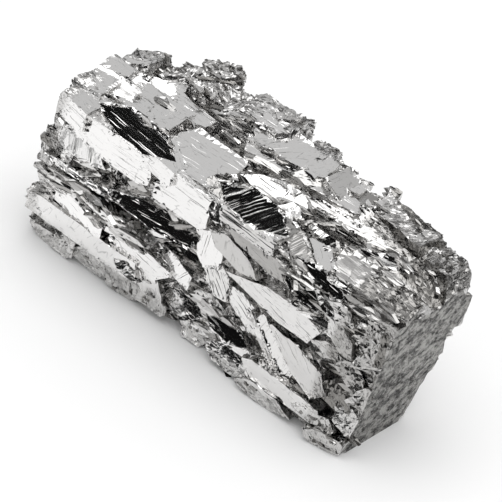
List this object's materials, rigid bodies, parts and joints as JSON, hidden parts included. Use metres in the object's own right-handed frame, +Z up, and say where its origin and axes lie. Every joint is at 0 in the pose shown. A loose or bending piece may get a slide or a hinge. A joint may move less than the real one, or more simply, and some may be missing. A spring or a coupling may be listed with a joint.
{
  "type": "bismuth ingot",
  "caption": "Broken slice of a cast bismuth ingot, with long bright cleaved crystals on its top and breaks and dull cast skin on one end and underneath.",
  "frame": {"origin": "on the flat cast floor that the slice rests on, midway between its ends and between its two breaks at the right end", "axes": "+X across the bar from the crystalline left end to the cast right end, +Y along the bar from the front break to the back break, +Z up"},
  "size_m": [0.1021, 0.048, 0.0431],
  "materials": {
    "bismuth": "gloss"
  },
  "bodies": {
    "root": {"ingot": "bismuth"}
  },
  "joints": []
}
